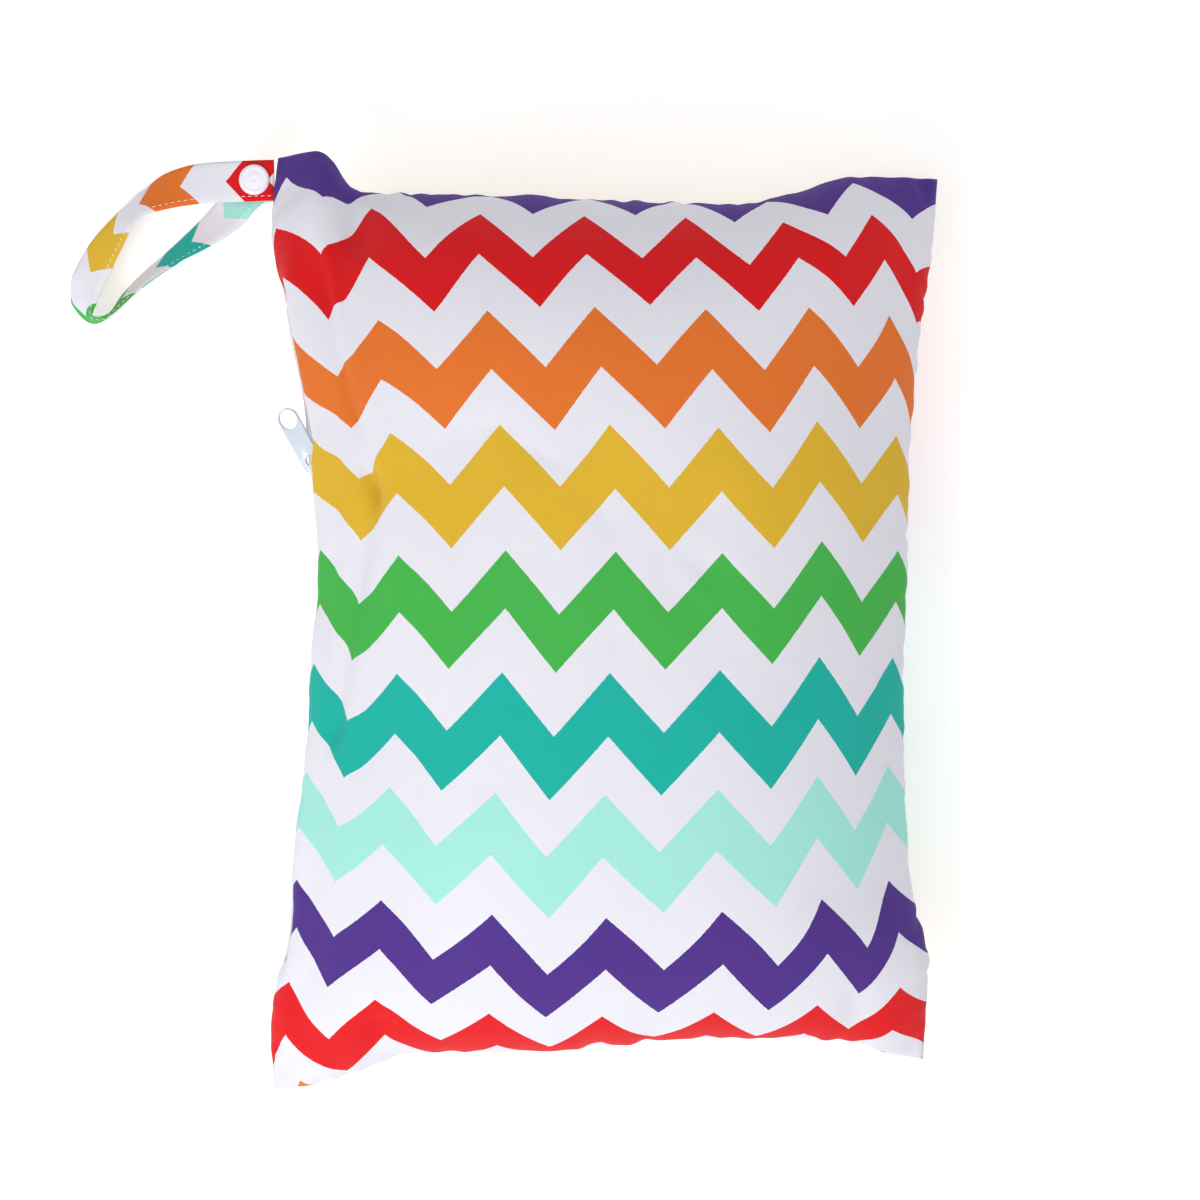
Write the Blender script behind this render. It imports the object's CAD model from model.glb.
import math

import bmesh
import bpy
import numpy as np
from mathutils import Matrix, Vector


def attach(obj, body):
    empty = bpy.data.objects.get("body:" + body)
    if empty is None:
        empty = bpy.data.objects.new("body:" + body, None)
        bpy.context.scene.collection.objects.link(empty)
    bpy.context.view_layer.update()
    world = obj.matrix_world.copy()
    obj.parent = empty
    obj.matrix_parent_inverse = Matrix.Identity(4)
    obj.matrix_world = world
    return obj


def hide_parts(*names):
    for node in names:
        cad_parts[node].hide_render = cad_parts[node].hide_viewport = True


# %% [markdown]
# # A zipped wet bag for cloth diapers
#
# The real thing is a flat bag of two printed panels, stuffed until it is a fat pillow. It lies on
# its back with its zip down the left side and a loop strap beside it. The CAD parts come first.
# They fix every size and place, so each piece below is made in the same frame, in metres. The
# lowest and highest corners of the CAD parts are kept now and written out at the end.

# %% Load the frame
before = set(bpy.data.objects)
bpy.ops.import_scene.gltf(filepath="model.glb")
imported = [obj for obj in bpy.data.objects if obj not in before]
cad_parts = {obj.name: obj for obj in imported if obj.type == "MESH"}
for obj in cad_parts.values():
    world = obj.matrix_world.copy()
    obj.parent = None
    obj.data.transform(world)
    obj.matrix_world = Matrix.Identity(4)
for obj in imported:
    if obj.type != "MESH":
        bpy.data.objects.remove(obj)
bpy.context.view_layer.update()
MM = 0.001

# %% [markdown]
# ## The camera
#
# The picture was taken from straight above with a long lens. A long lens far away keeps the raised
# middle of the bag from looking swollen against its seams, so the camera stands 1.45 m up.

# %% Camera
camera_data = bpy.data.cameras.new("camera")
camera_data.lens = 105
camera_data.sensor_width = 36
camera = bpy.data.objects.new("camera", camera_data)
camera.location = (-5 * MM, 10 * MM, 1452.5 * MM)
bpy.context.scene.collection.objects.link(camera)
bpy.context.scene.camera = camera

# %% [markdown]
# ## Sizes of the bag
#
# These are the sizes that the solids were made with, in millimetres. Each edge of the bag is drawn
# in from the straight line between its corners, because the stuffing takes up cloth. Reading such a
# short table as a smooth curve gives a natural outline from a dozen numbers.

# %% Sizes and the outline's tables
FLAT_WIDTH, FLAT_LENGTH = 285, 401.5
HALF_WIDTH, HALF_LENGTH = 135, 186
SEAM_GAP = 0.3
CORNER_HEIGHT, SEAM_HEIGHT, BULGE = 28, 50, 68
REST_WIDTH_SHARE, REST_LENGTH_SHARE = 0.42, 0.55
CORNERS = {
    "top left": (-1.006, 1.02),
    "top right": (0.98, 0.974),
    "bottom left": (-1.014, -1.015),
    "bottom right": (0.936, -0.95),
}
LEFT_EDGE = [
    (-1, 0), (-0.85, -0.006), (-0.66, 0.048), (-0.5, 0.062), (-0.27, 0.103), (-0.06, 0.119),
    (0.08, 0.137), (0.3, 0.146), (0.42, 0.125), (0.58, 0.06), (0.72, 0.022), (0.84, -0.01), (1, 0),
]
RIGHT_EDGE = [
    (-1, 0), (-0.76, 0.005), (-0.63, 0.059), (-0.5, 0.084), (-0.2, 0.105), (0.12, 0.102),
    (0.36, 0.1), (0.5, 0.088), (0.68, 0.06), (0.84, 0.02), (1, 0),
]
TOP_EDGE = [
    (-1, 0), (-0.88, -0.014), (-0.84, 0), (-0.77, 0.07), (-0.6, 0.084), (-0.25, 0.086),
    (0.1, 0.09), (0.4, 0.086), (0.56, 0.057), (0.7, 0.019), (0.86, 0.004), (1, 0),
]
BOTTOM_EDGE = [
    (-1, 0), (-0.88, 0.012), (-0.7, 0.052), (-0.58, 0.082), (-0.14, 0.078), (0.22, 0.09),
    (0.5, 0.082), (0.76, 0.058), (0.88, 0.022), (1, 0),
]


def smooth(table, at, column=1):
    """Reads a column as cubic spans whose slopes come from the rows on either side."""
    rows = np.asarray(table, float)
    x, y = rows[:, 0], rows[:, column]
    at = np.clip(at, x[0], x[-1])
    last = len(x) - 1
    after = np.minimum(np.arange(last + 1) + 1, last)
    before = np.maximum(np.arange(last + 1) - 1, 0)
    slope = (y[after] - y[before]) / (x[after] - x[before])
    i = np.clip(np.searchsorted(x, at, side="right") - 1, 0, last - 1)
    width = x[i + 1] - x[i]
    u = (at - x[i]) / width
    ends = (1 + 2 * u) * (1 - u) ** 2 * y[i] + u * u * (3 - 2 * u) * y[i + 1]
    return ends + width * (u * (1 - u) ** 2 * slope[i] - u * u * (1 - u) * slope[i + 1])


def mix(a, b, share):
    return a + (b - a) * share


def fade(distance, reach):
    return np.exp(-((distance / reach) ** 2))


def stack(x, y, z):
    return np.stack(np.broadcast_arrays(x, y, z), axis=-1).astype(float)


def unit(vectors):
    return vectors / np.linalg.norm(vectors, axis=-1, keepdims=True)


# %% The plan between the four edges
corner = {name: np.array([a * HALF_WIDTH, b * HALF_LENGTH]) for name, (a, b) in CORNERS.items()}


def edge(start, end, table, at, inward):
    at = np.asarray(at, float)
    straight = mix(corner[start], corner[end], ((at + 1) / 2)[..., None])
    drawn = smooth(table, at)[..., None] * np.array(inward, float)
    return straight + drawn * np.array([HALF_WIDTH, HALF_LENGTH])


def left_edge(at):
    return edge("bottom left", "top left", LEFT_EDGE, at, (1, 0))


def right_edge(at):
    return edge("bottom right", "top right", RIGHT_EDGE, at, (-1, 0))


def top_edge(at):
    return edge("top left", "top right", TOP_EDGE, at, (0, -1))


def bottom_edge(at):
    return edge("bottom left", "bottom right", BOTTOM_EDGE, at, (0, 1))


def plan(u, v):
    right, top = ((u + 1) / 2)[..., None], ((v + 1) / 2)[..., None]
    between = mix(left_edge(v), right_edge(v), right)
    through = mix(bottom_edge(u), top_edge(u), top)
    lower = mix(corner["bottom left"], corner["bottom right"], right)
    upper = mix(corner["top left"], corner["top right"], right)
    return between + through - mix(lower, upper, top)


print("width at the waist in mm:", round(float((right_edge(0.1) - left_edge(0.1))[0]), 1))

# %% [markdown]
# ## The cloth's shape
#
# Every point of a panel has two shares, `s` across the cut cloth and `t` along it, from -1 to 1. A
# stuffed panel is flat at its crown and steep at its seam. Summing small steps of a known slope
# tells how far the cloth has come across and how far it has dropped, which keeps its length right.
# The same two shares later carry the print, so the chevrons bend with the cloth.

# %% Sections of the bulge
def profile(slope_at, steps=400):
    middle = (np.arange(steps) + 0.5) / steps
    slope = np.radians(slope_at(middle))
    run = np.concatenate([[0], np.cumsum(np.cos(slope))])
    fall = np.concatenate([[0], np.cumsum(np.sin(slope))])
    at = np.linspace(0, 1, steps + 1)

    def cover(a):
        return np.sign(a) * np.interp(np.abs(a), at, run) / run[-1]

    def height(a):
        return 1 - np.interp(np.abs(a), at, fall) / fall[-1]

    return cover, height


SIDE_SLOPES = [
    (0, 0), (0.2, 10), (0.45, 26), (0.62, 38), (0.75, 46), (0.88, 49), (0.94, 68), (1, 112),
]
across_cover, across_height = profile(lambda r: smooth(SIDE_SLOPES, r))
along_cover, along_height = profile(lambda r: 68 * r**2.4 + 21 * r**4)


def seam_height(s, t):
    return mix(SEAM_HEIGHT, CORNER_HEIGHT, np.abs(s * t) ** 3)


# %% The zip's place along the left seam
ZIP_END = 137.5
SLOT_HALF, SLOT_RAMP = 4.5, 10
ZIP_TILT, SLIDER_TILT = math.radians(28), math.radians(50)
LAP_WIDTH, LAP_REACH, SLIDER_LAP = 26, 3, 5
SLIDER_AT, SLIDER_LENGTH, SLIDER_REACH = 61, 12, 20
SLIDER_ROOM, SLIDER_OUT = 1.7, 3.5
OPENING = [(0, 0), (0.05, 1.9), (0.45, 2), (0.85, 0.6), (0.92, 0)]


def seam_y(t):
    return mix(corner["bottom left"][1], corner["top left"][1], (t + 1) / 2)


def seam_share(y):
    low, high = corner["bottom left"][1], corner["top left"][1]
    return 2 * (np.asarray(y, float) - low) / (high - low) - 1


def coil_gap(t):
    rise = (seam_y(t) - SLIDER_AT) / (ZIP_END - SLIDER_AT)
    table = np.array(OPENING)
    return np.interp(rise, table[:, 0], table[:, 1])


def near_slider(t):
    beyond = np.abs(seam_y(t) - SLIDER_AT) - 0.7 * SLIDER_LENGTH
    return fade(np.maximum(beyond, 0), SLIDER_REACH)


def slot_ramp(t):
    return np.clip((ZIP_END - np.abs(seam_y(t))) / SLOT_RAMP, 0, 1)


def slot_closed(t):
    return slot_ramp(t) * (SLOT_HALF + SLIDER_ROOM * near_slider(t))


def slot_half(t):
    return slot_closed(t) + slot_ramp(t) * coil_gap(t)


def zip_frame(t):
    """Along the zip, out of the bag, across it towards the front panel, and its middle."""
    t = np.asarray(t, float)
    step = 0.01
    ahead = left_edge(t + step) - left_edge(t - step)
    run = unit(stack(ahead[..., 0], ahead[..., 1], 0))
    tilt = mix(ZIP_TILT, SLIDER_TILT, near_slider(t))
    out = stack(-run[..., 1] * np.cos(tilt), run[..., 0] * np.cos(tilt), np.sin(tilt))
    up = np.cross(run, out)
    at = left_edge(t)
    shift = slot_closed(t) * np.sin(tilt) - SLIDER_OUT * near_slider(t)
    centre = stack(at[..., 0] + shift, at[..., 1], seam_height(-1, t))
    return run, out, up, centre


# %% Folds in the front cloth
FOLDS = [
    # across, along, across, along, width in mm, depth in mm
    (-0.8, 0.62, -0.7, 0.26, 6.5, 4.4),
    (-0.7, 0.26, -0.79, -0.2, 6.5, 4.0),
    (-0.93, -0.5, -0.86, -0.8, 7, 3.0),
    (-0.62, 0.02, -0.45, -0.3, 14, 1.8),
    (0.88, 0.86, 0.86, 0.5, 8.2, 2.0),
    (0.86, -0.14, 0.87, -0.42, 8.2, 2.0),
    (-0.8, 0.98, -0.68, 0.8, 8.2, 4.8),
    (-0.68, -0.97, -0.6, -0.8, 6.5, 4.6),
    (0.78, -0.96, 0.7, -0.8, 7.5, 2.7),
    (-0.16, 0.36, 0.2, 0.1, 20.4, 2.8),
    (0.25, 0.2, 0.3, -0.1, 9, 1.4),
    (-0.02, 0.2, 0.02, -0.02, 7, 1.2),
]


def fold_depth(s, t):
    x, y = s * HALF_WIDTH, t * HALF_LENGTH
    depth = np.zeros_like(x)
    for a0, b0, a1, b1, width, deep in FOLDS:
        start = np.array([a0 * HALF_WIDTH, b0 * HALF_LENGTH])
        way = np.array([a1 * HALF_WIDTH, b1 * HALF_LENGTH]) - start
        share = ((x - start[0]) * way[0] + (y - start[1]) * way[1]) / (way @ way)
        share = np.clip(share, 0, 1)
        gap = np.hypot(x - start[0] - share * way[0], y - start[1] - share * way[1])
        depth += deep * fade(gap, width)
    return depth


# %% The inner face of each panel
def slot_shift(s, t, side):
    from_rim = (s + 1) / 2 * FLAT_WIDTH
    _, _, up, centre = zip_frame(t)
    at = left_edge(t)
    seam = stack(at[..., 0], at[..., 1], seam_height(-1, t))
    opening = slot_half(t)
    shift = centre + up * (side * opening)[..., None] - seam
    return shift * (fade(from_rim, 24) * (opening > 0))[..., None]


def lap_shift(s, t):
    from_rim = (s + 1) / 2 * FLAT_WIDTH
    opened = np.minimum(slot_half(t) / SLOT_HALF, 1)
    reach = LAP_REACH + SLIDER_LAP * near_slider(t)
    roll = np.sin(math.pi * np.minimum(from_rim, LAP_WIDTH) / LAP_WIDTH) ** 2
    return -reach * opened * roll


def front_inside(s, t):
    u = mix(s, across_cover(s), 1 - t**4)
    v = mix(t, along_cover(t), 1 - s**6)
    flat = plan(u, v)
    rise = BULGE * across_height(s) * along_height(t)
    point = stack(flat[..., 0], flat[..., 1], seam_height(s, t) + SEAM_GAP / 2 + rise)
    inward = unit(stack(-s * np.abs(s), -t * np.abs(t), -0.6))
    point += inward * (fold_depth(s, t) * (1 - s**6) * (1 - t**6))[..., None]
    point[..., 0] += lap_shift(s, t)
    return point + slot_shift(s, t, 1)


def rest_share(a, flat):
    r = np.maximum(0, (np.abs(a) - flat) / (1 - flat))
    return 1 - r**2.2


def back_inside(s, t):
    low = rest_share(s, REST_WIDTH_SHARE) * rest_share(t, REST_LENGTH_SHARE)
    flat = plan(s, t)
    height = mix(seam_height(s, t) - SEAM_GAP / 2, 1.4, low)
    return stack(flat[..., 0], flat[..., 1], height) + slot_shift(s, t, -1)


# %% [markdown]
# ## Writing shader maths as plain Python
#
# A printed, woven cloth is mostly arithmetic: stripes, zigzags and threads. Wiring Math nodes by
# hand hides that, so a small class wraps a socket and lets `a * b + 1` add the nodes. Any other node
# comes from one method that takes its type, its settings and its inputs.

# %% Shader helpers
class Wire:
    """A socket that can stand in a Python expression."""

    def __init__(self, finish, socket):
        self.finish = finish
        self.socket = socket

    def maths(self, operation, *values):
        return self.finish.node("ShaderNodeMath", {"operation": operation}, list(values))

    def __add__(self, other):
        return self.maths("ADD", self, other)

    def __mul__(self, other):
        return self.maths("MULTIPLY", self, other)

    def __sub__(self, other):
        return self.maths("SUBTRACT", self, other)

    def __truediv__(self, other):
        return self.maths("DIVIDE", self, other)

    __radd__ = __add__
    __rmul__ = __mul__

    def fract(self):
        return self.maths("FRACT", self)

    def abs(self):
        return self.maths("ABSOLUTE", self)

    def sin(self):
        return self.maths("SINE", self)


class Finish:
    """One material and the nodes in it."""

    def __init__(self, name):
        self.material = bpy.data.materials.new(name)
        self.material.use_nodes = True
        self.tree = self.material.node_tree
        self.tree.nodes.clear()

    def node(self, kind, settings=None, inputs=(), out=0):
        made = self.tree.nodes.new(kind)
        for key, value in (settings or {}).items():
            if key == "stops":
                self.fill_ramp(made.color_ramp, value)
            else:
                setattr(made, key, value)
        pairs = inputs.items() if isinstance(inputs, dict) else enumerate(inputs)
        for key, value in pairs:
            if isinstance(value, Wire):
                self.tree.links.new(value.socket, made.inputs[key])
            else:
                made.inputs[key].default_value = value
        return Wire(self, made.outputs[out])

    def fill_ramp(self, ramp, stops):
        ramp.interpolation = "CONSTANT"
        while len(ramp.elements) > 1:
            ramp.elements.remove(ramp.elements[-1])
        ramp.elements[0].position = stops[0][0]
        ramp.elements[0].color = stops[0][1]
        for position, colour in stops[1:]:
            ramp.elements.new(position).color = colour

    def blend(self, share, a, b, way="MIX"):
        settings = {"data_type": "RGBA", "blend_type": way}
        return self.node("ShaderNodeMix", settings, {0: share, 6: a, 7: b}, 2)

    def place(self):
        return self.node("ShaderNodeTexCoord", out="Object")

    def noise(self, at, scale, detail=2.0, rough=0.5):
        inputs = {"Vector": at, "Scale": scale, "Detail": detail, "Roughness": rough}
        return self.node("ShaderNodeTexNoise", None, inputs, "Fac")

    def parts(self, vector):
        made = self.node("ShaderNodeSeparateXYZ", None, [vector]).socket.node
        return [Wire(self, made.outputs[axis]) for axis in ("X", "Y", "Z")]

    def bump(self, height, depth_mm, strength=1.0):
        inputs = {"Height": height, "Distance": depth_mm * MM, "Strength": strength}
        return self.node("ShaderNodeBump", None, inputs, "Normal")

    def surface(self, **sockets):
        inputs = {name.replace("_", " "): value for name, value in sockets.items()}
        shader = self.node("ShaderNodeBsdfPrincipled", None, inputs)
        end = self.tree.nodes.new("ShaderNodeOutputMaterial")
        self.tree.links.new(shader.socket, end.inputs["Surface"])
        return self.material


def colour(red, green, blue):
    """A screen colour of 0 to 255 as the linear colour that shaders take."""
    def linear(value):
        value /= 255
        return value / 12.92 if value <= 0.04045 else ((value + 0.055) / 1.055) ** 2.4

    return (linear(red), linear(green), linear(blue), 1.0)


# %% [markdown]
# ## The chevron print
#
# The print repeats every 43 mm across and 47 mm along. Its UV map is measured in those repeats, so
# one whole number is one zigzag or one colour. Folding `u` into a triangle wave and adding it to `v`
# bends straight stripes into chevrons, and a stepped ramp names the colours. That needs no picture
# and stays sharp at any distance.

# %% Printed cloth
REPEAT_ACROSS, REPEAT_ALONG = 42.9, 46.9
PEAK = 0.507
INKS = [
    colour(80, 50, 136), colour(216, 22, 28), colour(226, 116, 46), colour(220, 178, 50),
    colour(70, 178, 76), colour(28, 176, 162), colour(162, 228, 216), colour(80, 50, 136),
    colour(222, 26, 32), colour(226, 116, 46), colour(220, 178, 50), colour(70, 178, 76),
]
WHITE_CLOTH = colour(228, 227, 236)


def printed_cloth(name, thread_mm=0.42, wrinkle_mm=0.6):
    f = Finish(name)
    across, along, _ = f.parts(f.node("ShaderNodeUVMap", {"uv_map": "print"}))
    place = f.place()
    zigzag = ((across.fract() - 0.5).abs()) * 2
    bleed = f.noise(place, 900, 1) * 0.012 - 0.006
    stripe = along + zigzag * PEAK + bleed
    stops = []
    for k, ink in enumerate(INKS):
        stops.append((k / len(INKS), ink))
        stops.append(((k + 0.5) / len(INKS), WHITE_CLOTH))
    dye = f.node("ShaderNodeValToRGB", {"stops": stops}, [stripe / len(INKS)], "Color")
    turns_across = 2 * math.pi * REPEAT_ACROSS / thread_mm
    turns_along = 2 * math.pi * REPEAT_ALONG / thread_mm
    weave = (across * turns_across).sin() * (along * turns_along).sin()
    cloudy = f.noise(place, 22, 3)
    mottled = f.noise(place, 1400, 2)
    shade = 0.945 + cloudy * 0.07 + (mottled - 0.5) * 0.12 + weave * 0.03
    grey = f.node("ShaderNodeCombineXYZ", None, [shade, shade, shade])
    dyed = f.blend(1.0, dye, grey, "MULTIPLY")
    crinkle = f.noise(place, 60, 3, 0.55)
    relief = f.bump(crinkle, wrinkle_mm, 0.5)
    threads = {"Height": weave, "Distance": 0.03 * MM, "Strength": 0.5, "Normal": relief}
    normal = f.node("ShaderNodeBump", None, threads, "Normal")
    return f.surface(
        Base_Color=dyed,
        Roughness=0.66 + mottled * 0.12,
        Normal=normal,
        Sheen_Weight=0.04,
        Sheen_Roughness=0.5,
        Specular_IOR_Level=0.12,
    )


def laminate(name):
    f = Finish(name)
    place = f.place()
    film = f.noise(place, 700, 2)
    sheen = 0.34 + film * 0.16
    return f.surface(
        Base_Color=colour(236, 237, 240),
        Roughness=sheen,
        Normal=f.bump(film, 0.05, 0.6),
        Specular_IOR_Level=0.4,
    )


print_finish = printed_cloth("printed_cloth")
ribbon_finish = printed_cloth("printed_ribbon", 0.5, 0.12)
lining_finish = laminate("waterproof_lining")

# %% [markdown]
# ## Webbing, plastic and enamel
#
# The zip has a woven tape, nylon teeth and an enamelled slider. Their colours are all close to
# white, so what tells them apart is how rough they are and the fine relief in each.

# %% The other finishes
def woven_tape(name):
    f = Finish(name)
    place = f.place()
    x, y, z = f.parts(place)
    twill = ((y + z * 0.6) * 9000).sin() * ((y - z * 0.8 + x * 0.4) * 9000).sin()
    fuzz = f.noise(place, 2600, 2)
    shade = 0.93 + twill * 0.035 + fuzz * 0.06
    grey = f.node("ShaderNodeCombineXYZ", None, [shade, shade, shade])
    return f.surface(
        Base_Color=f.blend(1.0, colour(232, 233, 238), grey, "MULTIPLY"),
        Roughness=0.8 + fuzz * 0.12,
        Normal=f.bump(twill + fuzz, 0.08, 0.8),
        Sheen_Weight=0.2,
    )


def moulded(name, tint, rough, grain=1800, depth=0.02, coat=0.0, metal=0.0):
    f = Finish(name)
    place = f.place()
    fine = f.noise(place, grain, 2)
    broad = f.noise(place, 260, 2)
    shade = 0.965 + broad * 0.05
    grey = f.node("ShaderNodeCombineXYZ", None, [shade, shade, shade])
    return f.surface(
        Base_Color=f.blend(1.0, tint, grey, "MULTIPLY"),
        Roughness=rough + fine * 0.1,
        Normal=f.bump(fine, depth, 0.6),
        Coat_Weight=coat,
        Coat_Roughness=0.12,
        Metallic=metal,
    )


tape_finish = woven_tape("zipper_tape_cloth")
coil_finish = moulded("nylon_coil", colour(238, 239, 243), 0.38)
slider_finish = moulded("slider_enamel", colour(226, 228, 236), 0.3, coat=0.5)
pull_finish = moulded("pull_enamel", colour(205, 216, 230), 0.28, coat=0.6)
snap_finish = moulded("snap_resin", colour(238, 236, 243), 0.26, grain=900, coat=0.3)
thread_finish = moulded("sewing_thread", colour(244, 244, 246), 0.6, grain=3200, depth=0.05)
print("finishes:", len(bpy.data.materials))

# %% [markdown]
# ## Mesh helpers
#
# The cloth, tapes and strap are all grids of points. One helper turns a front and a back grid into
# a closed wall with a UV map, another doubles a grid's fineness without moving its points.

# %% Grids and walls
def normals_of(points):
    across = np.gradient(points, axis=1)
    along = np.gradient(points, axis=0)
    return unit(np.cross(across, along))


def finer(grid):
    """Puts a point between each two, on the cubic curve through their neighbours."""
    def one_way(g):
        pad = np.concatenate([2 * g[:1] - g[1:2], g, 2 * g[-1:] - g[-2:-1]])
        middle = (9 * (pad[1:-2] + pad[2:-1]) - pad[:-3] - pad[3:]) / 16
        made = np.empty((2 * len(g) - 1,) + g.shape[1:])
        made[0::2], made[1::2] = g, middle
        return made

    grid = one_way(grid)
    return np.swapaxes(one_way(np.swapaxes(grid, 0, 1)), 0, 1)


def new_object(name, vertices, faces, uvs=None, materials=(), face_slots=None):
    mesh = bpy.data.meshes.new(name)
    mesh.from_pydata(np.asarray(vertices).tolist(), [], np.asarray(faces).tolist())
    if uvs is not None:
        layer = mesh.uv_layers.new(name="print")
        layer.data.foreach_set("uv", np.asarray(uvs, np.float32).ravel())
    for material in materials:
        mesh.materials.append(material)
    if face_slots is not None:
        mesh.polygons.foreach_set("material_index", np.asarray(face_slots, np.int32))
    mesh.polygons.foreach_set("use_smooth", np.ones(len(mesh.polygons), bool))
    mesh.update()
    obj = bpy.data.objects.new(name, mesh)
    bpy.context.scene.collection.objects.link(obj)
    return obj


def wall(name, outer, inner, uv, materials, flip=False, inner_uv=None):
    """A closed wall between two grids. Its outer face and its rim take the first material."""
    rows, columns = outer.shape[:2]
    ids = np.arange(rows * columns).reshape(rows, columns)
    face = np.stack([ids[:-1, :-1], ids[:-1, 1:], ids[1:, 1:], ids[1:, :-1]], -1).reshape(-1, 4)
    far = rows * columns
    ring = np.concatenate([ids[0, :-1], ids[:-1, -1], ids[-1, :0:-1], ids[:0:-1, 0]])
    following = np.roll(ring, -1)
    rim = np.stack([ring, ring + far, following + far, following], -1)
    faces = np.concatenate([face, face[:, ::-1] + far, rim])
    slots = np.concatenate([np.zeros(len(face)), np.ones(len(face)), np.zeros(len(rim))])
    if flip:
        faces = faces[:, ::-1]
    vertices = np.concatenate([outer.reshape(-1, 3), inner.reshape(-1, 3)]) * MM
    outer_spots = uv.reshape(-1, 2)
    inner_spots = outer_spots if inner_uv is None else inner_uv.reshape(-1, 2)
    sides, edges = faces[: 2 * len(face)], faces[2 * len(face) :]
    side_uvs = np.concatenate([outer_spots, inner_spots])[sides.ravel()]
    edge_uvs = np.concatenate([outer_spots, outer_spots])[edges.ravel()]
    uvs = np.concatenate([side_uvs, edge_uvs])
    return new_object(name, vertices, faces, uvs, materials, slots)


# %% [markdown]
# ## Stuffing the bag
#
# Real cloth finds its own small wrinkles where it is gathered. Cloth simulation finds them too: the
# grid starts in the stuffed shape, its rest shape is the flat cut panel, its seam is pinned, and a
# little air pressure pushes from inside. The panel is longer than the seam that holds it, so it
# buckles near the seam as the real one does. How far a point may move is capped, to keep the shape
# that was measured. The grid is kept so that the print's shares stay with their points.

# %% Cloth under pressure
STEPS = 20
CLOTH_FEEL = {
    "quality": 6, "mass": 0.2, "tension_stiffness": 25, "compression_stiffness": 25,
    "shear_stiffness": 8, "bending_stiffness": 0.6,
}


def stuffed(name, start, rest, pressure, cap):
    rows, columns = start.shape[:2]
    ids = np.arange(rows * columns).reshape(rows, columns)
    face = np.stack([ids[:-1, :-1], ids[:-1, 1:], ids[1:, 1:], ids[1:, :-1]], -1).reshape(-1, 4)
    obj = new_object(name, start.reshape(-1, 3) * MM, face)
    obj.shape_key_add(name="stuffed")
    cut = obj.shape_key_add(name="cut")
    cut.data.foreach_set("co", (rest.reshape(-1, 3) * MM).ravel())
    seam = obj.vertex_groups.new(name="seam")
    ring = np.concatenate([ids[0], ids[-1], ids[:, 0], ids[:, -1]])
    seam.add([int(i) for i in np.unique(ring)], 1.0, "REPLACE")
    cloth = obj.modifiers.new("cloth", "CLOTH")
    for key, value in CLOTH_FEEL.items():
        setattr(cloth.settings, key, value)
    cloth.settings.vertex_group_mass = "seam"
    cloth.settings.rest_shape_key = cut
    cloth.settings.use_pressure = True
    cloth.settings.uniform_pressure_force = pressure
    cloth.settings.effector_weights.gravity = 0
    cloth.collision_settings.use_collision = False
    cloth.collision_settings.use_self_collision = False
    cloth.point_cache.frame_start = 1
    cloth.point_cache.frame_end = STEPS
    for number in range(1, STEPS + 1):
        bpy.context.scene.frame_set(number)
    bpy.context.view_layer.update()
    result = obj.evaluated_get(bpy.context.evaluated_depsgraph_get()).data
    moved = np.empty(rows * columns * 3, np.float32)
    result.vertices.foreach_get("co", moved)
    mesh = obj.data
    bpy.data.objects.remove(obj)
    bpy.data.meshes.remove(mesh)
    bpy.context.scene.frame_set(1)
    change = moved.reshape(start.shape) / MM - start
    size = np.linalg.norm(change, axis=-1, keepdims=True)
    print(name, "moved", round(float(size.mean()), 2), "mm on average,", round(float(size.max()), 2))
    return change * np.minimum(1, cap[..., None] / np.maximum(size, 1e-6))


# %% The panels' grids
COLUMNS, ROWS = 81, 113
shares_across = np.linspace(-1, 1, COLUMNS)
shares_along = np.linspace(-1, 1, ROWS)
s_grid, t_grid = np.meshgrid(shares_across, shares_along)
cut_cloth = stack(s_grid * FLAT_WIDTH / 2, t_grid * FLAT_LENGTH / 2, 0)
from_seam = np.minimum(
    (1 - np.abs(s_grid)) * FLAT_WIDTH / 2,
    (1 - np.abs(t_grid)) * FLAT_LENGTH / 2,
)
front = front_inside(s_grid, t_grid)
back = back_inside(s_grid, t_grid)
front += stuffed("front_cloth", front, cut_cloth, 2.0, np.minimum(3.5, from_seam * 0.2))
flipped = back[:, ::-1]
settled = stuffed("back_cloth", flipped, cut_cloth, 2.0, np.minimum(3.0, from_seam * 0.2))
back += settled[:, ::-1] * np.minimum(1, np.maximum(back[..., 2:] - 1.4, 0) / 8)
print("front grid", front.shape, "back grid", back.shape)

# %% [markdown]
# ## Seams, puckers and the print's drag
#
# Close to the seam the cloth is gathered into small puckers. They are finer than the simulated grid,
# so they are added as waves that fade away from the seam, each with its own place and length. The
# gathers also drag the print: a short list says where, how far and over what reach.

# %% Puckers along the seams
def waves(at, seed, count, short, long):
    """A wandering wave of about unit height along a line measured in millimetres."""
    random = np.random.default_rng(seed)
    total = np.zeros_like(at)
    for _ in range(count):
        length = random.uniform(short, long)
        phase = random.uniform(0, 2 * math.pi)
        drift = random.uniform(60, 140)
        swell = 0.5 + 0.5 * np.sin(2 * math.pi * at / drift + phase * 3)
        total += swell * np.sin(2 * math.pi * at / length + phase)
    return total / math.sqrt(count)


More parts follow.
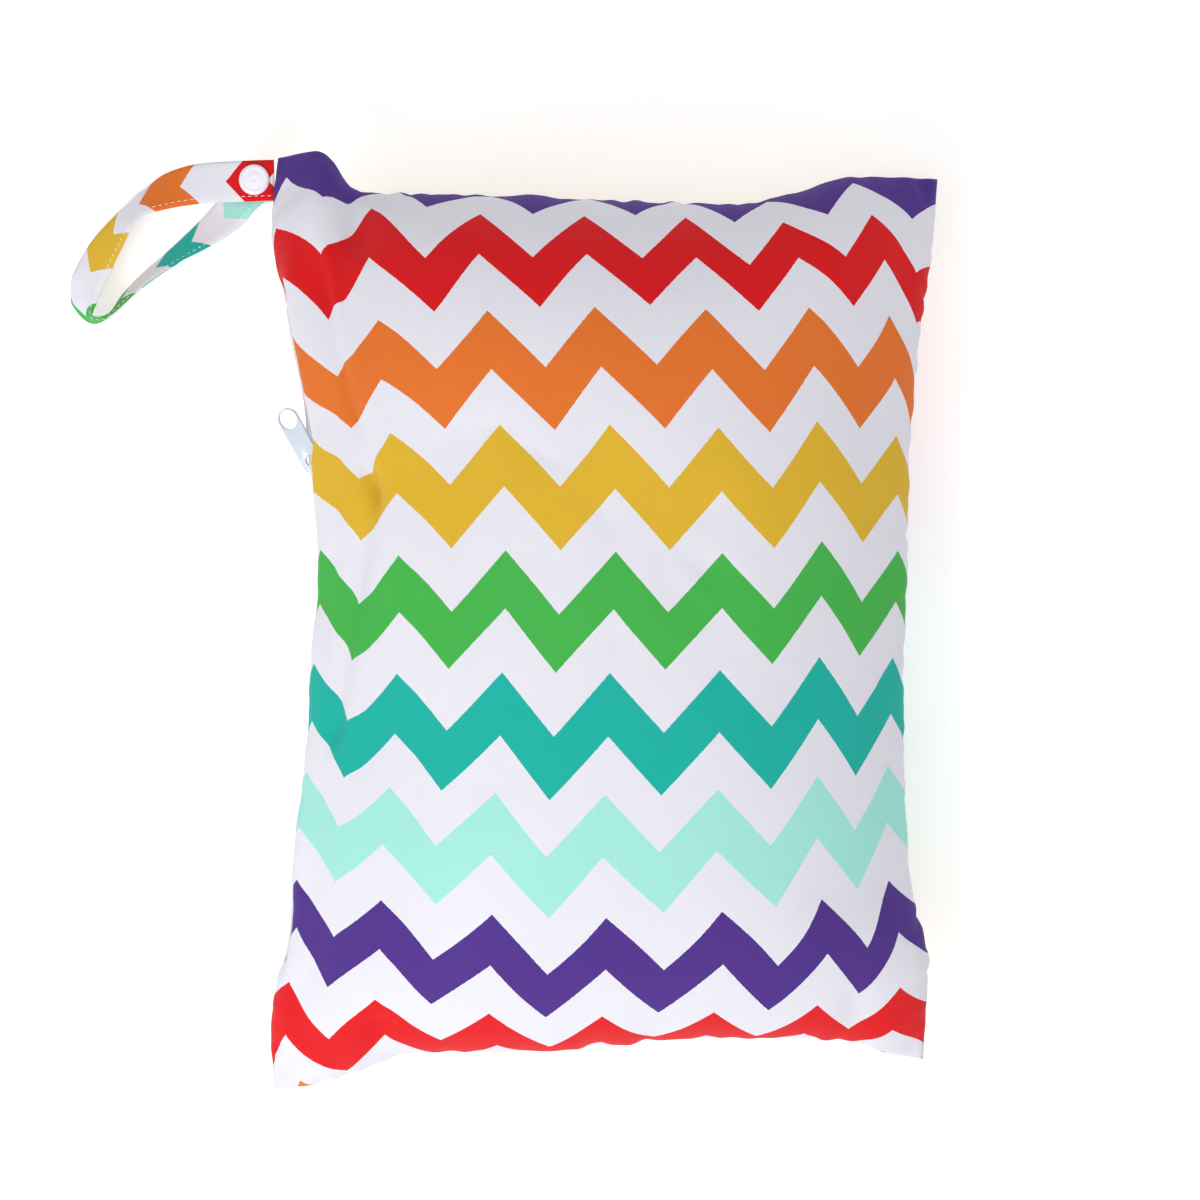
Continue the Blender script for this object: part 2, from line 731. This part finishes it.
def puckers(s, t, seed, height):
    x, y = s * FLAT_WIDTH / 2, t * FLAT_LENGTH / 2
    made = np.zeros_like(x)
    sides = [
        ((1 + s) * FLAT_WIDTH / 2, y, 0.5),
        ((1 - s) * FLAT_WIDTH / 2, y, 1.0),
        ((1 + t) * FLAT_LENGTH / 2, x, 1.0),
        ((1 - t) * FLAT_LENGTH / 2, x, 1.0),
    ]
    for k, (gap, run, share) in enumerate(sides):
        fine = waves(run, seed + k, 5, 8, 17) * fade(gap, 13) * (1 - fade(gap, 2.5) * 0.6)
        broad = waves(run, seed + 20 + k, 4, 22, 44) * fade(gap, 30) * (1 - fade(gap, 5))
        made += share * height * (0.6 * fine + 0.9 * broad)
    return made


HALF_REPEATS, REPEATS = 3.325, 8.57
DRAGS = [
    # across, along, reach across, reach along, zigzags, colours
    (0.95, 0.95, 0.6, 0.32, 0.78, -0.28),
    (0.0, 0.95, 0.6, 0.35, 0.18, 0.02),
    (-0.95, 0.8, 0.25, 0.3, 0.1, -0.14),
    (-0.8, -0.75, 0.42, 0.5, 0.04, 0.36),
    (0.92, -0.62, 0.28, 0.5, 0.22, 0.2),
    (-0.4, -0.2, 0.4, 0.9, -0.13, 0.0),
    (0.6, 0.4, 0.4, 0.3, 0.1, -0.1),
    (-0.82, 0.9, 0.14, 0.1, 0.0, -0.14),
    (-0.64, 0.9, 0.2, 0.14, 0.12, 0.24),
    (-0.45, 0.6, 0.3, 0.16, -0.08, -0.07),
    (-0.79, 0.5, 0.16, 0.2, 0.13, -0.22),
    (-0.74, -0.58, 0.14, 0.34, 0.0, 0.12),
    (-0.45, 0.26, 0.3, 0.2, 0.07, 0.0),
    (0.2, 0.9, 0.25, 0.1, 0.0, 0.12),
    (0.93, 0.9, 0.18, 0.17, -0.2, 0.32),
    (0.92, 0.62, 0.1, 0.14, 0.12, 0.15),
    (0.4, -0.85, 0.4, 0.18, 0.0, -0.1),
    (1.0, -1.0, 0.12, 0.12, 0.0, 0.15),
    (0.25, 0.6, 0.25, 0.3, 0.0, 0.06),
    (-1.0, -1.0, 0.15, 0.1, 0.0, -0.12),
]


def print_place(s, t):
    across = 3 + HALF_REPEATS * s
    along = -0.17 + REPEATS * (1 - t) / 2
    for a, b, wide, tall, du, dv in DRAGS:
        share = np.exp(-(((s - a) / wide) ** 2) - ((t - b) / tall) ** 2)
        across = across + du * share
        along = along + dv * share
    return np.stack([across, along], -1)


# %% Make the two panels
RIM_CLOTH, CLOTH, CLOTH_RAMP = 0.15, 1.3, 2.2


def cloth_panel(name, points, side, seed, height, uv_at):
    fine = finer(points)
    s = np.linspace(-1, 1, fine.shape[1])
    t = np.linspace(-1, 1, fine.shape[0])
    s, t = np.meshgrid(s, t)
    way = normals_of(fine) * side
    fine = fine + way * puckers(s, t, seed, height)[..., None]
    way = normals_of(fine) * side
    gap = np.minimum((1 - np.abs(s)) * FLAT_WIDTH / 2, (1 - np.abs(t)) * FLAT_LENGTH / 2)
    thick = RIM_CLOTH + (CLOTH - RIM_CLOTH) * (1 - np.exp(-gap / CLOTH_RAMP))
    outer = fine + way * thick[..., None]
    return wall(name, outer, fine, uv_at(s, t), [print_finish, lining_finish], side < 0)


def back_print(s, t):
    across = 3.3 - HALF_REPEATS * s
    along = 10.5 - REPEATS * (1 - t) / 2
    return np.stack([across, along], -1)


front_cloth = cloth_panel("front_cloth", front, 1, 3, 0.9, print_place)
back_cloth = cloth_panel("back_cloth", back, -1, 40, 0.8, back_print)
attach(front_cloth, "bag")
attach(back_cloth, "bag")
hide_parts("front_panel")
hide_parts("back_panel")
print("panel faces:", len(front_cloth.data.polygons), len(back_cloth.data.polygons))

# %% [markdown]
# ## The zip
#
# A zip is two tapes, each with a nylon coil sewn along its edge. The tapes follow the cloth's rim,
# so they are strips of a grid. The coil is one small loop, repeated every 1.25 mm: a job for
# Geometry Nodes, which turn one loop and a line into two hundred teeth.

# %% Tapes
CLEARANCE, TAPE, TAPE_LAP, TAPE_START, COIL_GAP = 0.35, 0.6, 6, 3, 0.4
COIL_WIDTH, COIL_HEIGHT = 2.4, 1.4
tape_shares = seam_share(np.linspace(-ZIP_END + TAPE_START, ZIP_END - TAPE_START, 190))


def tape_layer(inside, side, depth):
    _, out, up, centre = zip_frame(tape_shares)
    start = (side * (coil_gap(tape_shares) + COIL_GAP))[:, None]
    near = centre + up * start - out * depth
    columns = [near]
    for share in (-1, -1 + TAPE_LAP / FLAT_WIDTH, -1 + 2 * TAPE_LAP / FLAT_WIDTH):
        s = np.full_like(tape_shares, share)
        step = 0.004
        across = inside(np.maximum(s, -1) + step, tape_shares) - inside(s, tape_shares)
        along = inside(s, tape_shares + step) - inside(s, tape_shares - step)
        columns.append(inside(s, tape_shares) - unit(np.cross(across, along)) * side * depth)
    return np.stack(columns, 1)


def zip_tape(name, inside, side):
    outer = tape_layer(inside, side, CLEARANCE)
    inner = tape_layer(inside, side, CLEARANCE + TAPE)
    uv = np.zeros(outer.shape[:2] + (2,))
    obj = wall(name, outer, inner, uv, [tape_finish, tape_finish], side < 0)
    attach(obj, "bag")
    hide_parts("zipper_tape_" + ("front" if side > 0 else "back"))


zip_tape("tape_front", front_inside, 1)
zip_tape("tape_back", back_inside, -1)


# %% A node tree that repeats a small shape along a line
def repeat_tree(name, shape):
    """Lays one shape along a line at even steps. The line's points know which way is out."""
    tree = bpy.data.node_groups.new(name, "GeometryNodeTree")
    face = tree.interface
    face.new_socket("Geometry", in_out="INPUT", socket_type="NodeSocketGeometry")
    face.new_socket("Geometry", in_out="OUTPUT", socket_type="NodeSocketGeometry")
    for label in ("Pitch", "Length", "Width", "Height", "Wire"):
        face.new_socket(label, in_out="INPUT", socket_type="NodeSocketFloat")
    face.new_socket("Finish", in_out="INPUT", socket_type="NodeSocketMaterial")

    def node(kind, settings=None, **inputs):
        made = tree.nodes.new(kind)
        for key, value in (settings or {}).items():
            setattr(made, key, value)
        for key, value in inputs.items():
            socket = made.inputs[key.replace("_", " ")]
            if isinstance(value, bpy.types.NodeSocket):
                tree.links.new(value, socket)
            else:
                socket.default_value = value
        return made.outputs[0]

    given = tree.nodes.new("NodeGroupInput").outputs
    line = node("GeometryNodeMeshToCurve", Mesh=given["Geometry"])
    even = node("GeometryNodeResampleCurve", {"mode": "LENGTH"}, Curve=line, Length=given["Pitch"])
    size = node("ShaderNodeCombineXYZ", X=given["Length"], Y=given["Width"], Z=given["Height"])
    if shape == "loop":
        ring = node("GeometryNodeCurvePrimitiveCircle", Resolution=12, Radius=1.0)
        turned = node("GeometryNodeTransform", Geometry=ring, Rotation=(0, math.pi / 2, 0))
        sized = node("GeometryNodeTransform", Geometry=turned, Scale=size)
        wire = node("GeometryNodeCurvePrimitiveCircle", Resolution=6, Radius=given["Wire"])
        body = node("GeometryNodeCurveToMesh", Curve=sized, Profile_Curve=wire)
    else:
        bead = node("GeometryNodeMeshUVSphere", Segments=8, Rings=6, Radius=1.0)
        body = node("GeometryNodeTransform", Geometry=bead, Scale=size)
    align = "FunctionNodeAlignRotationToVector"
    out = node("GeometryNodeInputNamedAttribute", {"data_type": "FLOAT_VECTOR"}, Name="out")
    along = node(align, {"axis": "X"}, Vector=node("GeometryNodeInputTangent"))
    upright = node(align, {"axis": "Z", "pivot_axis": "X"}, Rotation=along, Vector=out)
    many = node("GeometryNodeInstanceOnPoints", Points=even, Instance=body, Rotation=upright)
    real = node("GeometryNodeRealizeInstances", Geometry=many)
    shaded = node("GeometryNodeSetShadeSmooth", Geometry=real)
    dressed = node("GeometryNodeSetMaterial", Geometry=shaded, Material=given["Finish"])
    tree.links.new(dressed, tree.nodes.new("NodeGroupOutput").inputs[0])
    return tree


loop_tree = repeat_tree("loops_on_a_line", "loop")
stitch_tree = repeat_tree("stitches_on_a_line", "stitch")


def repeated(name, tree, lines, finish, **sizes):
    """Runs the tree on open lines of points and their outward directions, and keeps the mesh."""
    points, edges, outs = [], [], []
    for line, out in lines:
        first = len(points)
        points += (np.asarray(line) * MM).tolist()
        outs += np.asarray(out).tolist()
        edges += [(first + i, first + i + 1) for i in range(len(line) - 1)]
    mesh = bpy.data.meshes.new(name + "_line")
    mesh.from_pydata(points, edges, [])
    way = mesh.attributes.new("out", "FLOAT_VECTOR", "POINT")
    way.data.foreach_set("vector", np.asarray(outs, np.float32).ravel())
    source = bpy.data.objects.new(name + "_line", mesh)
    bpy.context.scene.collection.objects.link(source)
    nodes = source.modifiers.new("repeat", "NODES")
    nodes.node_group = tree
    for item in tree.interface.items_tree:
        if item.in_out == "INPUT" and item.name in sizes:
            nodes[item.identifier] = sizes[item.name] * MM
        if item.in_out == "INPUT" and item.name == "Finish":
            nodes[item.identifier] = finish
    bpy.context.view_layer.update()
    graph = bpy.context.evaluated_depsgraph_get()
    made = bpy.data.meshes.new_from_object(source.evaluated_get(graph))
    bpy.data.objects.remove(source)
    obj = bpy.data.objects.new(name, made)
    bpy.context.scene.collection.objects.link(obj)
    print(name, "has", len(made.polygons), "faces")
    return obj


# %% Coils
coil_end = ZIP_END - SLOT_RAMP


def coil_line(side):
    t = seam_share(np.linspace(-coil_end, coil_end, 160))
    _, out, up, centre = zip_frame(t)
    off = (side * (coil_gap(t) + COIL_GAP + COIL_WIDTH / 2))[:, None]
    return centre + up * off + out * (COIL_HEIGHT / 2), out


for way, side in (("front", 1), ("back", -1)):
    loops = repeated(
        "coil_" + way, loop_tree, [coil_line(side)], coil_finish,
        Pitch=1.25, Length=1, Width=COIL_WIDTH / 2 - 0.3, Height=COIL_HEIGHT / 2 - 0.3, Wire=0.3,
    )
    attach(loops, "bag")
    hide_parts("zipper_coil_" + way)

# %% [markdown]
# ## Slider and pull tab
#
# The slider is two plates round a wedge, with a crown that the pull hangs from. A filled curve with
# a bevel gives each plate the softened edge of cast and enamelled zinc, and its holes for free.

# %% Enamelled plates from filled curves
SLIDER_WIDTH, SLIDER_HEEL, SLIDER_PLATE = 9.4, 7.6, 1.1
SLIDER_CANT = math.radians(17)
CROWN_LENGTH, CROWN_WIDTH, CROWN_BAR, CROWN_ROOM = 8.4, 2, 1.2, 3.3
PULL_LENGTH, PULL_WIDTH, PULL_HEEL, PULL_THICKNESS = 28, 9.4, 8.6, 1.2
PULL_TWIST, PULL_LIFT, PULL_FORWARD = math.radians(12), math.radians(20), 2
PULL_BAR, PULL_RIM = 1.1, 0.8
outer_bottom = COIL_HEIGHT + CLEARANCE
outer_top = outer_bottom + SLIDER_PLATE
inner_top = -(2 * CLEARANCE + TAPE)
hinge_height = outer_top + CROWN_ROOM / 2


def arc(x, y, rx, ry, start, end, count=16):
    angle = np.radians(np.linspace(start, end, count))
    return [(x + rx * math.cos(a), y + ry * math.sin(a)) for a in angle]


def rounded(points, radius, count=6):
    """A closed outline with its corners rounded."""
    made = []
    many = len(points)
    for i, point in enumerate(points):
        p = np.array(point, float)
        a = np.array(points[i - 1], float) - p
        b = np.array(points[(i + 1) % many], float) - p
        start = p + a / np.linalg.norm(a) * min(radius, np.linalg.norm(a) * 0.45)
        end = p + b / np.linalg.norm(b) * min(radius, np.linalg.norm(b) * 0.45)
        for k in range(count + 1):
            u = k / count
            made.append(tuple((1 - u) ** 2 * start + 2 * u * (1 - u) * p + u * u * end))
    return made


def plate(outlines, thickness, bevel):
    """A flat plate in millimetres, centred on z = 0, as a mesh with rounded edges."""
    curve = bpy.data.curves.new("plate", "CURVE")
    curve.dimensions = "2D"
    curve.fill_mode = "BOTH"
    curve.extrude = thickness / 2 - bevel
    curve.bevel_depth = bevel
    curve.bevel_resolution = 2
    curve.offset = -bevel
    for outline in outlines:
        spline = curve.splines.new("POLY")
        spline.points.add(len(outline) - 1)
        for point, (x, y) in zip(spline.points, outline):
            point.co = (x, y, 0, 1)
        spline.use_cyclic_u = True
    obj = bpy.data.objects.new("plate", curve)
    bpy.context.scene.collection.objects.link(obj)
    bpy.context.view_layer.update()
    graph = bpy.context.evaluated_depsgraph_get()
    mesh = bpy.data.meshes.new_from_object(obj.evaluated_get(graph))
    bpy.data.objects.remove(obj)
    return mesh


def finished(name, mesh, matrix, finish, sharp):
    """Places a mesh made in millimetres, with one finish and edges sharp above an angle."""
    mesh.transform(Matrix.Scale(MM, 4) @ matrix)
    mesh.materials.clear()
    mesh.materials.append(finish)
    mesh.polygons.foreach_set("material_index", np.zeros(len(mesh.polygons), np.int32))
    mesh.polygons.foreach_set("use_smooth", np.ones(len(mesh.polygons), bool))
    mesh.set_sharp_from_angle(angle=math.radians(sharp))
    obj = bpy.data.objects.new(name, mesh)
    bpy.context.scene.collection.objects.link(obj)
    return obj


def gathered(name, parts, matrix, finish):
    """Joins meshes in millimetres, each with its own placing, into one piece in metres."""
    joined = bmesh.new()
    for mesh, placing in parts:
        mesh.transform(placing)
        joined.from_mesh(mesh)
        bpy.data.meshes.remove(mesh)
    bmesh.ops.remove_doubles(joined, verts=joined.verts, dist=1e-4)
    bmesh.ops.recalc_face_normals(joined, faces=joined.faces)
    result = bpy.data.meshes.new(name)
    joined.to_mesh(result)
    joined.free()
    return finished(name, result, matrix, finish, 50)


def zip_matrix(y, cant=0.0):
    """X along the zip, Y across it and Z out of the bag, in millimetres."""
    run, out, up, centre = (Vector(v.tolist()) for v in zip_frame(seam_share(y)))
    turn = Matrix((run, -up, out)).transposed().to_4x4()
    return Matrix.Translation(centre) @ turn @ Matrix.Rotation(cant, 4, "Z")


# %% Slider
slider_matrix = zip_matrix(SLIDER_AT, SLIDER_CANT)
nose = SLIDER_LENGTH / 2
shoe = rounded(
    [(-nose, -SLIDER_HEEL / 2), (nose - 4, -SLIDER_WIDTH / 2), (nose, -SLIDER_WIDTH / 2 + 1.2),
     (nose, SLIDER_WIDTH / 2 - 1.2), (nose - 4, SLIDER_WIDTH / 2), (-nose, SLIDER_HEEL / 2)],
    1.4,
)
half = CROWN_LENGTH / 2
tall = CROWN_ROOM + CROWN_BAR
arch = rounded(
    [(-half, -0.4), (-half + CROWN_BAR, -0.4), (-half + CROWN_BAR, CROWN_ROOM),
     (half - CROWN_BAR, CROWN_ROOM), (half - CROWN_BAR, -0.4), (half, -0.4), (half, tall),
     (-half, tall)],
    1.3,
)
bridge = [(nose - 2.4, -0.6), (nose, -0.6), (nose, 0.6), (nose - 2.4, 0.6)]
bridge_height = outer_bottom - inner_top + 1


def raised(height):
    return Matrix.Translation((0, 0, height))


slider_parts = [
    (plate([shoe], SLIDER_PLATE, 0.3), raised(outer_bottom + SLIDER_PLATE / 2)),
    (plate([shoe], SLIDER_PLATE, 0.3), raised(inner_top - SLIDER_PLATE / 2)),
    (plate([bridge], bridge_height, 0.1), raised((outer_bottom + inner_top) / 2)),
    (plate([arch], CROWN_WIDTH, 0.35), raised(outer_top) @ Matrix.Rotation(math.pi / 2, 4, "X")),
]
slider_piece = gathered("slider_cast", slider_parts, slider_matrix, slider_finish)
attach(slider_piece, "bag")
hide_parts("slider")

# %% Pull tab
tip = PULL_LENGTH - PULL_BAR - PULL_WIDTH / 2
heel = PULL_HEEL / 2
body = rounded([(tip, PULL_WIDTH / 2), (-PULL_BAR / 2, heel), (-PULL_BAR / 2, -heel),
                (tip, -PULL_WIDTH / 2)], 1.6)
body = [point for point in body if point[0] < tip - 0.5]
body += arc(tip, 0, PULL_WIDTH / 2, PULL_WIDTH / 2, -90, 90, 28)
ring = arc(tip, 0, 4.0, PULL_WIDTH / 2 - PULL_RIM, 0, 352, 32)
far = PULL_BAR / 2 + 5.2
eye = [(PULL_BAR / 2, -2.1), (PULL_BAR / 2, 2.1)] + arc(far - 2.1, 0, 2.1, 2.1, 90, -90, 14)
lay = (
    Matrix.Translation((PULL_FORWARD, 0, hinge_height))
    @ Matrix.Rotation(-PULL_LIFT, 4, "Y")
    @ Matrix.Rotation(PULL_TWIST, 4, "X")
)
pull_parts = [(plate([body, ring, eye], PULL_THICKNESS, 0.25), lay)]
pull_piece = gathered("pull_enamelled", pull_parts, slider_matrix, pull_finish)
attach(pull_piece, "pull")
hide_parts("pull_tab")

# %% Bar tacks at both ends of the zip
for way, sign in (("bottom", -1), ("top", 1)):
    middle = sign * (coil_end + CLEARANCE + 1.2)
    place = zip_matrix(middle)
    lines = []
    for k in range(7):
        x = -1.2 + 0.4 * k
        line = [place @ Vector((x, y, 0.5)) for y in np.linspace(-2.1, 2.1, 8)]
        out = place.to_3x3() @ Vector((0, 0, 1))
        lines.append(([tuple(p) for p in line], [tuple(out)] * 8))
    tack = repeated(
        "bar_tack_" + way, stitch_tree, lines, thread_finish,
        Pitch=0.7, Length=0.42, Width=0.22, Height=0.45, Wire=0.1,
    )
    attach(tack, "bag")
    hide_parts("zipper_stop_" + way)

# %% [markdown]
# ## The strap
#
# The strap is a printed ribbon, sewn into the seam at one end and snapped back to itself at the
# other. It is swept along the same line as the solid, but with many more steps. Its two faces are
# printed separately, because the ribbon is a folded strip whose far side shows another part of the
# pattern.

# %% The strap's line
STRAP_WIDTH, STRAP_THICKNESS = 16.6, 1.3
STRAP_REACH, STRAP_DROP, STRAP_HEIGHT = 82, 56, 31
STRAP_PATH = [
    # out, down, height, turn in degrees
    (0.005, 0, 1, 0), (0.2, 0.01, 1, 0), (0.4, 0.03, 0.99, 8), (0.55, 0.085, 0.95, 28),
    (0.65, 0.145, 0.87, 48), (0.73, 0.24, 0.76, 54), (0.82, 0.385, 0.64, 40),
    (0.9, 0.55, 0.53, 28), (0.965, 0.73, 0.45, 28), (0.985, 0.87, 0.38, 46),
    (0.95, 0.975, 0.34, 80), (0.86, 0.95, 0.35, 100), (0.78, 0.83, 0.38, 110),
    (0.69, 0.705, 0.42, 113), (0.59, 0.59, 0.46, 117), (0.475, 0.475, 0.52, 126),
    (0.36, 0.355, 0.6, 140), (0.25, 0.235, 0.7, 156),
]
sewn_y = corner["top left"][1] - 9.2
sewn_x = float(left_edge(seam_share(sewn_y))[0])
snap_x = sewn_x - 8.9
layer_step = STRAP_THICKNESS + 2 * 1.7 + 3 * SEAM_GAP
free_height = STRAP_HEIGHT - layer_step
strap_points, strap_turns = [], []
for out, down, height, turn in STRAP_PATH:
    strap_points.append((
        sewn_x - CLEARANCE - out * STRAP_REACH, sewn_y - down * STRAP_DROP, height * STRAP_HEIGHT,
    ))
    strap_turns.append(turn)
strap_points += [
    ((strap_points[-1][0] + snap_x) / 2, sewn_y - 6, free_height),
    (snap_x, sewn_y - 1, free_height),
    (sewn_x - 3, sewn_y, free_height),
]
strap_turns += [172, 180, 180]


def through(points, turns, per_span):
    """A centripetal curve through points, with its directions and turns."""
    p = np.array(points, float)
    p = np.concatenate([[2 * p[0] - p[1]], p, [2 * p[-1] - p[-2]]])
    places, ways, angles = [], [], []
    for i in range(1, len(p) - 2):
        a, b, c, d = p[i - 1 : i + 3]
        u, v, w = (max(np.linalg.norm(y - x) ** 0.5, 1e-4) for x, y in ((a, b), (b, c), (c, d)))
        start = ((b - a) / u - (c - a) / (u + v) + (c - b) / v) * v
        end = ((c - b) / v - (d - b) / (v + w) + (d - c) / w) * v
        last = i == len(p) - 3
        for k in range(per_span + last):
            q = k / per_span
            places.append(
                b + start * q + (3 * (c - b) - 2 * start - end) * q**2
                + (2 * (b - c) + start + end) * q**3
            )
            ways.append(
                start + 2 * (3 * (c - b) - 2 * start - end) * q
                + 3 * (2 * (b - c) + start + end) * q**2
            )
            angles.append(mix(turns[i - 1], turns[i], q))
    return np.array(places), unit(np.array(ways)), np.radians(angles)


middle, ahead, turned = through(strap_points, strap_turns, 14)
level = unit(np.cross(np.array([0, 0, 1.0]), ahead))
upright = np.cross(ahead, level)
wide = level * np.cos(turned)[:, None] + upright * np.sin(turned)[:, None]
thick = np.cross(ahead, wide)
run = np.concatenate([[0], np.cumsum(np.linalg.norm(np.diff(middle, axis=0), axis=1))])
print("strap length in mm:", round(float(run[-1]), 1))

# %% Sweep the ribbon
ACROSS = 17
STRAP_REPEAT, OVER_START, UNDER_START = 36.5, 0.96, 0.42
spot = np.linspace(-1, 1, ACROSS)
swell = (1 - spot**8) * 0.5 + 0.12
ripple = waves(run, 7, 4, 18, 34)[:, None] * 0.25 * spot[None, :] ** 2
offset = wide[:, None, :] * (spot * STRAP_WIDTH / 2)[None, :, None]
lift = thick[:, None, :]
over = middle[:, None, :] + offset + lift * (ripple + swell * STRAP_THICKNESS)[..., None]
under = middle[:, None, :] + offset + lift * (ripple - swell * STRAP_THICKNESS)[..., None]
across_uv = spot[None, :] * STRAP_WIDTH / 2 / REPEAT_ACROSS + 0 * run[:, None]
along_uv = run[:, None] / STRAP_REPEAT + 0 * spot[None, :]
over_uv = np.stack([across_uv + 0.5, along_uv + OVER_START], -1)
under_uv = np.stack([across_uv, along_uv + UNDER_START], -1)
ribbon_finishes = [ribbon_finish, ribbon_finish]
strap_piece = wall("strap_ribbon", over, under, over_uv, ribbon_finishes, inner_uv=under_uv)
check = bmesh.new()
check.from_mesh(strap_piece.data)
if check.calc_volume(signed=True) < 0:
    strap_piece.data.flip_normals()
check.free()
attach(strap_piece, "bag")
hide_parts("strap")

# %% [markdown]
# A row of stitches runs along one edge of the ribbon. The thread lies half in the cloth, so each
# stitch is a slim bead that stands proud by a tenth of a millimetre.

# %% Stitches along the strap
STITCH_SHARE = 0.76
stitch_lines = []
for sign in (1, -1):
    edge_line = middle + wide * (STITCH_SHARE * STRAP_WIDTH / 2)
    edge_line = edge_line + thick * (sign * STRAP_THICKNESS * 0.58)
    stitch_lines.append((edge_line[2:-2], thick[2:-2] * sign))
strap_stitches = repeated(
    "strap_stitches", stitch_tree, stitch_lines, thread_finish,
    Pitch=2.6, Length=0.85, Width=0.15, Height=0.14, Wire=0.1,
)
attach(strap_stitches, "bag")

# %% [markdown]
# ## The snap
#
# The snap is four turned parts of white resin: a cap on each outer side, and a socket and a stud
# between the two layers of ribbon. A profile spun round an axis is the plain way to make them.

# %% Turned snap parts
def turned_part(name, profile_mm, z, way, node_name):
    mesh = bmesh.new()
    line = [mesh.verts.new((r, 0, way * h)) for r, h in profile_mm]
    edges = [mesh.edges.new(pair) for pair in zip(line[:-1], line[1:])]
    bmesh.ops.spin(
        mesh, geom=line + edges, axis=(0, 0, 1), cent=(0, 0, 0), steps=64, angle=2 * math.pi,
        use_merge=True,
    )
    bmesh.ops.remove_doubles(mesh, verts=mesh.verts, dist=1e-4)
    bmesh.ops.recalc_face_normals(mesh, faces=mesh.faces)
    data = bpy.data.meshes.new(name)
    mesh.to_mesh(data)
    mesh.free()
    obj = finished(name, data, Matrix.Translation((snap_x, sewn_y, z)), snap_finish, 40)
    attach(obj, "bag")
    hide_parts(node_name)


post = STRAP_THICKNESS + 2 * SEAM_GAP - 0.02
cap_profile = [
    (0, -post), (1.6, -post), (1.6, 0), (5.9, 0), (6.12, 0.12), (6.2, 0.4), (6.14, 0.75),
    (5.9, 1.08), (5.5, 1.34), (5.05, 1.5), (4.75, 1.55), (4.5, 1.48), (4.3, 1.4), (4.0, 1.42),
    (3.2, 1.55), (2.0, 1.68), (1.0, 1.74), (0.6, 1.7), (0.4, 1.6), (0, 1.58),
]
body_profile = [
    (0, 0), (4.9, 0), (5.12, 0.1), (5.2, 0.3), (5.2, 1.4), (5.12, 1.6), (4.9, 1.7), (2.4, 1.7),
    (2.2, 1.5), (0, 1.5),
]
above = STRAP_THICKNESS / 2 + SEAM_GAP
turned_part("snap_cap_front", cap_profile, STRAP_HEIGHT + above, 1, "snap_cap")
turned_part("snap_socket_ring", body_profile, STRAP_HEIGHT - above, -1, "snap_socket")
turned_part("snap_stud_ring", body_profile, free_height + above, 1, "snap_stud")
turned_part("snap_cap_back", cap_profile, free_height - above, -1, "snap_back")

# %% [markdown]
# ## Floor and light
#
# The bag lies on a plain pale floor. Soft light comes from all round, a little stronger from the
# lower left, so the folds show without hard shadows.

# %% Floor
def studio_floor():
    f = Finish("pale_floor")
    speck = f.noise(f.place(), 40, 2)
    material = f.surface(
        Base_Color=(0.97, 0.97, 0.97, 1),
        Roughness=0.9 + speck * 0.08,
        Specular_IOR_Level=0.1,
        Emission_Color=(1, 1, 1, 1),
        Emission_Strength=0.25,
    )
    side = 3.0
    corners = [(-side, -side, -0.0005), (side, -side, -0.0005), (side, side, -0.0005),
               (-side, side, -0.0005)]
    obj = new_object("floor", corners, [(0, 1, 2, 3)], None, [material])


studio_floor()

# %% Lights
def soft_light(name, place, size, power):
    data = bpy.data.lights.new(name, "AREA")
    data.shape = "DISK"
    data.size = size
    data.energy = power
    obj = bpy.data.objects.new(name, data)
    obj.location = place
    aim = Vector((0, 0, 0.05)) - Vector(place)
    obj.rotation_euler = aim.to_track_quat("-Z", "Y").to_euler()
    bpy.context.scene.collection.objects.link(obj)


soft_light("key_light", (-1.0, -1.4, 1.5), 1.1, 26)
soft_light("fill_light", (1.2, 1.0, 1.6), 1.6, 8.5)
soft_light("top_light", (-0.2, -0.3, 2.4), 2.0, 15)
bpy.context.scene.view_settings.view_transform = "Standard"
world = bpy.data.worlds.new("studio")
world.use_nodes = True
world.node_tree.nodes["Background"].inputs["Color"].default_value = (1, 1, 1, 1)
world.node_tree.nodes["Background"].inputs["Strength"].default_value = 0.42
bpy.context.scene.world = world
